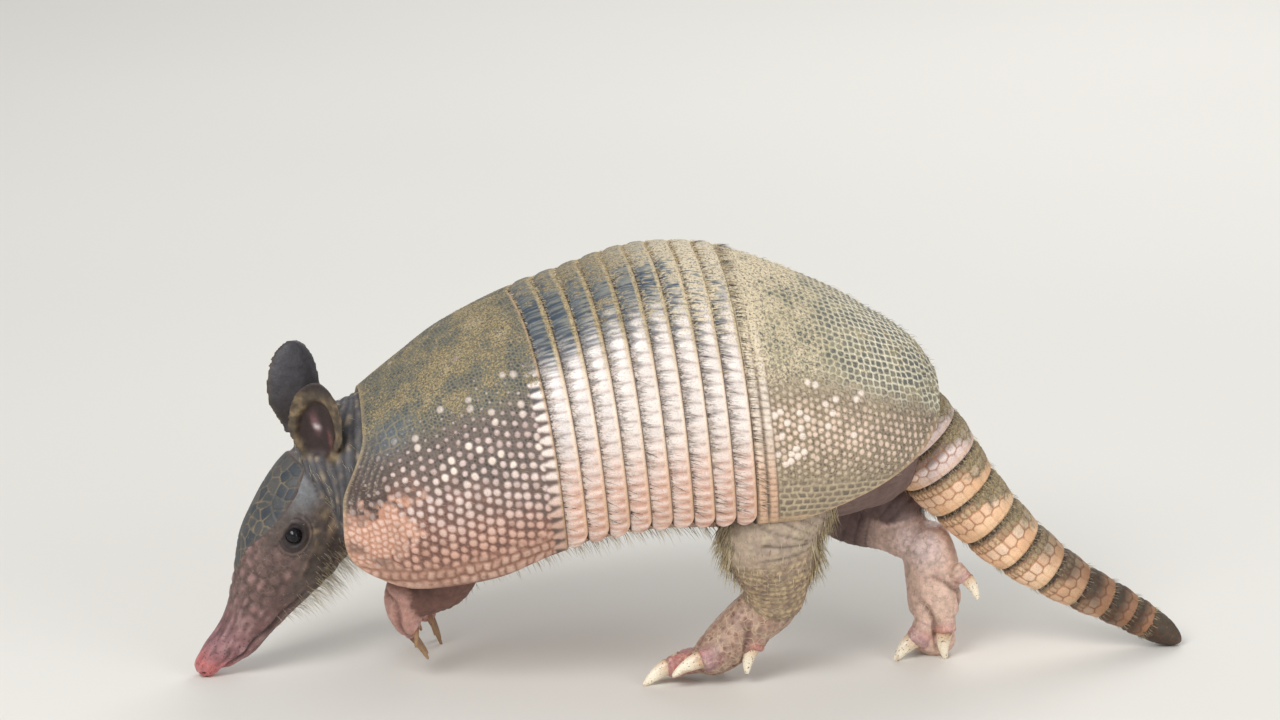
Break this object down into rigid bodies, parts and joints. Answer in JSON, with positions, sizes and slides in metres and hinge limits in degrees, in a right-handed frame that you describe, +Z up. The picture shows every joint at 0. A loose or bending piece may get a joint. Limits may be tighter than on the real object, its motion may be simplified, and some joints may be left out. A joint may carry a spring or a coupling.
{
  "type": "armadillo",
  "caption": "Young nine-banded armadillo at life size, walking with its nose on the ground, its banded shell, scaly legs, clawed feet and ringed tail as a still model.",
  "frame": {"origin": "on the ground under the middle of the animal: the bottom centre of its bounding box", "axes": "+Z up, -X the way it walks (nose towards -X, tail towards +X), -Y its left side"},
  "size_m": [0.3964, 0.1232, 0.171],
  "materials": {
    "skin": "wrinkled bare hide with small scales",
    "shell": "horny scutes over bone, dull",
    "band": "long horny scutes, slightly waxy",
    "head_shield": "flat horny plates, slightly waxy",
    "tail": "horny scutes in rings, dull",
    "eye": "wet and glossy",
    "claw": "worn horn, satin"
  },
  "bodies": {
    "root": {"scapular_shield": "shell", "band_1": "band", "band_2": "band", "band_3": "band", "band_4": "band", "band_5": "band", "band_6": "band", "band_7": "band", "band_8": "band", "band_9": "band", "pelvic_shield": "shell", "trunk": "skin", "neck": "skin", "head": "skin", "lower_jaw": "skin", "head_shield": "head_shield", "ear_left": "skin", "ear_right": "skin", "eye_left": "eye", "eye_right": "eye", "leg_fl": "skin", "foot_fl": "skin", "claw_fl_1": "claw", "claw_fl_2": "claw", "claw_fl_3": "claw", "claw_fl_4": "claw", "leg_fr": "skin", "foot_fr": "skin", "claw_fr_1": "claw", "claw_fr_2": "claw", "claw_fr_3": "claw", "claw_fr_4": "claw", "leg_hl": "skin", "foot_hl": "skin", "claw_hl_1": "claw", "claw_hl_2": "claw", "claw_hl_3": "claw", "claw_hl_4": "claw", "claw_hl_5": "claw", "leg_hr": "skin", "foot_hr": "skin", "claw_hr_1": "claw", "claw_hr_2": "claw", "claw_hr_3": "claw", "claw_hr_4": "claw", "claw_hr_5": "claw", "tail_ring_01": "tail", "tail_ring_02": "tail", "tail_ring_03": "tail", "tail_ring_04": "tail", "tail_ring_05": "tail", "tail_ring_06": "tail", "tail_ring_07": "tail", "tail_ring_08": "tail", "tail_ring_09": "tail", "tail_ring_10": "tail", "tail_tip": "tail"}
  },
  "joints": []
}
